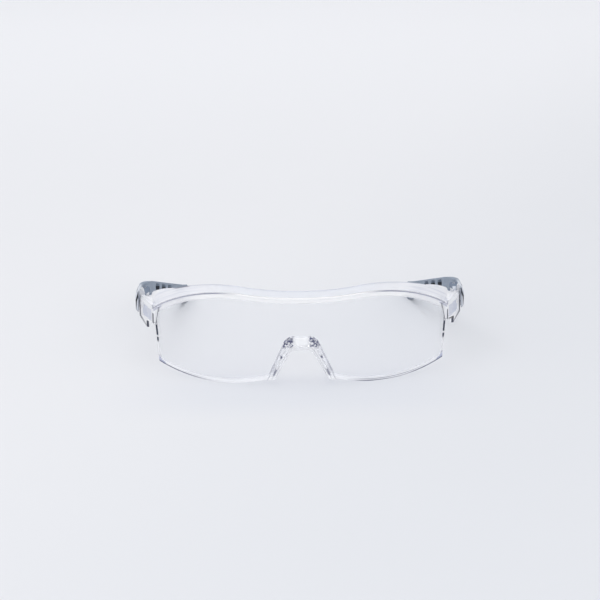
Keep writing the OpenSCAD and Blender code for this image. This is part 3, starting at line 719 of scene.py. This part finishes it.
def vent_face(face):
    """1 for a wall of the vents in an arm, which lies in shade and gets the material painted dark for it."""
    middle = face.calc_center_median() * MM
    off_y, off_z = middle.y - SHIFT_Y - BEND_Y, middle.z - BEND_Z
    run = off_y * math.cos(ARM_FALL) - off_z * math.sin(ARM_FALL)
    height = off_y * math.sin(ARM_FALL) + off_z * math.cos(ARM_FALL)
    in_row = VENT_FIRST - VENT_REACH < run < VENT_FIRST + 2 * VENT_PITCH + VENT_REACH
    return 1 if in_row and abs(height - VENT_HEIGHT) < VENT_HALF and abs(face.normal.x) < 0.9 else 0


make_lens()
rounded_copy("brow_frame_shell", "brow_frame", [clear_frame, bonded], "front", 0.22,
             pick=groove_face)
rounded_copy("nose_bridge_saddle", "nose_bridge", [clear_bridge], "front", 0.35, segments=3)
rounded_copy("left_temple_arm", "left_temple", [slate, vent_shade_slate], "left_arm", 0.35,
             pick=vent_face)
rounded_copy("right_temple_arm", "right_temple", [slate, vent_shade_slate], "right_arm", 0.35,
             pick=vent_face)


# ---------------------------------------------------------------- floor and light, in metres
def floor_material():
    """A pale blue white table with painted light fall-off that keeps the object's shadow, and a painted
    shadow a little deeper in front of the lens.
    """
    material, t = new_material("pale_table")
    where = t.place()
    parts = t.split(where)
    clouds = t.noise(where, 9.0, 3.0)
    # Painted light fall-off: lighter far back and on the left, darker on the right.
    far = t.ramp(parts["Y"], 0.2, 1.25)
    right = t.ramp(t.maths("MULTIPLY_ADD", parts["Y"], -0.4, parts["X"]), -0.16, 0.2)
    left_near = t.blend(clouds, linear(229, 230, 233), linear(230, 231, 234))
    right_near = t.blend(clouds, linear(222, 224, 228), linear(223, 225, 229))
    left_tone = t.blend(far, left_near, linear(243, 244, 247))
    right_tone = t.blend(far, right_near, linear(237, 239, 242))
    # Painted shadow: a soft darker band on the table in front of the lens.
    shade = t.times(t.band(parts["Y"], -0.10, -0.088, 0.04),
                    t.ramp(t.maths("ABSOLUTE", parts["X"]), 0.11, 0.04), 0.3)
    tone = t.blend(shade, t.blend(right, left_tone, right_tone), linear(212, 216, 225))
    body = t.add("ShaderNodeBsdfDiffuse", {"Color": tone, "Roughness": 0.6})
    t.add("ShaderNodeOutputMaterial", {"Surface": body.outputs[0]})
    return material


def make_floor():
    """A table that sweeps up behind the object into a wall."""
    reach, back, rise, sweep, steps = 4.0, 3.2, 3.0, 1.2, 12
    profile = [(-reach, 0.0), (back - sweep, 0.0)]
    for step in range(1, steps + 1):
        turn = math.radians(90 * step / steps)
        profile.append((back - sweep + sweep * math.sin(turn), sweep - sweep * math.cos(turn)))
    profile.append((back, rise))
    points = [(x, y, z) for y, z in profile for x in (-reach, reach)]
    faces = [(2 * i, 2 * i + 1, 2 * i + 3, 2 * i + 2) for i in range(len(profile) - 1)]
    mesh = bpy.data.meshes.new("table_sweep")
    mesh.from_pydata(points, [], faces)
    mesh.shade_smooth()
    table = bpy.data.objects.new("table_sweep", mesh)
    scene.collection.objects.link(table)
    mesh.materials.append(floor_material())


def softbox(name, place, aim, width, height, radiance):
    """A white rectangular lamp of even radiance that faces the point aim."""
    data = bpy.data.lights.new(name, "AREA")
    data.shape = "RECTANGLE"
    data.size = width
    data.size_y = height
    data.energy = radiance * math.pi * width * height
    lamp = bpy.data.objects.new(name, data)
    scene.collection.objects.link(lamp)
    away = (Vector(place) - Vector(aim)).normalized()
    lamp.matrix_world = Matrix.Translation(place) @ away.to_track_quat("Z", "Y").to_matrix().to_4x4()


def make_world():
    """An even soft dome for matt surfaces; gloss and glass see a bright back and darker walls."""
    world = bpy.data.worlds.new("studio")
    scene.world = world
    t = Tree(world)
    parts = t.split(t.add("ShaderNodeTexCoord").outputs["Generated"])
    wall = t.ramp(t.maths("ABSOLUTE", parts["X"]), 0.35, 0.75)
    front = t.ramp(parts["Y"], -0.35, -0.8)
    room = t.blend(t.largest(wall, front), (0.84, 0.85, 0.88, 1), (0.27, 0.28, 0.35, 1))
    studio = t.add("ShaderNodeBackground", {"Color": room, "Strength": 1.0})
    dome = t.add("ShaderNodeBackground", {"Color": (0.765, 0.766, 0.776, 1), "Strength": 1.0})
    seen = t.add("ShaderNodeBackground", {"Color": linear(238, 240, 245), "Strength": 1.0})
    path = t.add("ShaderNodeLightPath")
    mixed = t.mix(path.outputs["Is Diffuse Ray"], studio.outputs[0], dome.outputs[0])
    mixed = t.mix(path.outputs["Is Camera Ray"], mixed, seen.outputs[0])
    t.add("ShaderNodeOutputWorld", {"Surface": mixed})


make_floor()
make_world()
softbox("softbox_rear", (-0.10, 1.00, 1.95), (0, 0.1, 0.03), width=1.3, height=0.7, radiance=1.2)
softbox("softbox_top", (-0.35, -0.15, 1.50), (0, 0, 0.02), width=1.4, height=1.4, radiance=1.1)
softbox("softbox_front", (0.15, -1.50, 0.55), (0, -0.08, 0.03), width=1.2, height=0.5, radiance=2.0)


# ---------------------------------------------------------------- camera
def make_camera():
    """The photograph's view, found by fitting the outline of the object."""
    azimuth, elevation, roll = math.radians(0.695), math.radians(16.725), math.radians(-0.634)
    distance, aim = 1.1, Vector((0.0, -0.0812, 0.024))
    focal, off_x, off_y, picture = 2240.4, 1.37, 39.27, 600.0
    ahead = Vector((
        math.sin(azimuth) * math.cos(elevation),
        math.cos(azimuth) * math.cos(elevation),
        -math.sin(elevation),
    ))
    right = Vector((math.cos(azimuth), -math.sin(azimuth), 0.0))
    up = right.cross(ahead)
    right, up = (
        right * math.cos(roll) + up * math.sin(roll),
        up * math.cos(roll) - right * math.sin(roll),
    )
    place = aim - ahead * distance
    ahead = (ahead + up * (off_y / focal) - right * (off_x / focal)).normalized()
    up = (up - ahead * up.dot(ahead)).normalized()
    right = ahead.cross(up)
    turn = Matrix((right, up, -ahead)).transposed().to_4x4()
    data = bpy.data.cameras.new("photo_camera")
    data.sensor_fit = "HORIZONTAL"
    data.sensor_width = 36.0
    data.lens = data.sensor_width * focal / picture
    data.clip_start = 0.01
    data.clip_end = 50.0
    camera = bpy.data.objects.new("photo_camera", data)
    camera.matrix_world = Matrix.Translation(place) @ turn
    scene.collection.objects.link(camera)
    scene.camera = camera


make_camera()
scene.view_settings.view_transform = "Standard"

bpy.context.view_layer.update()
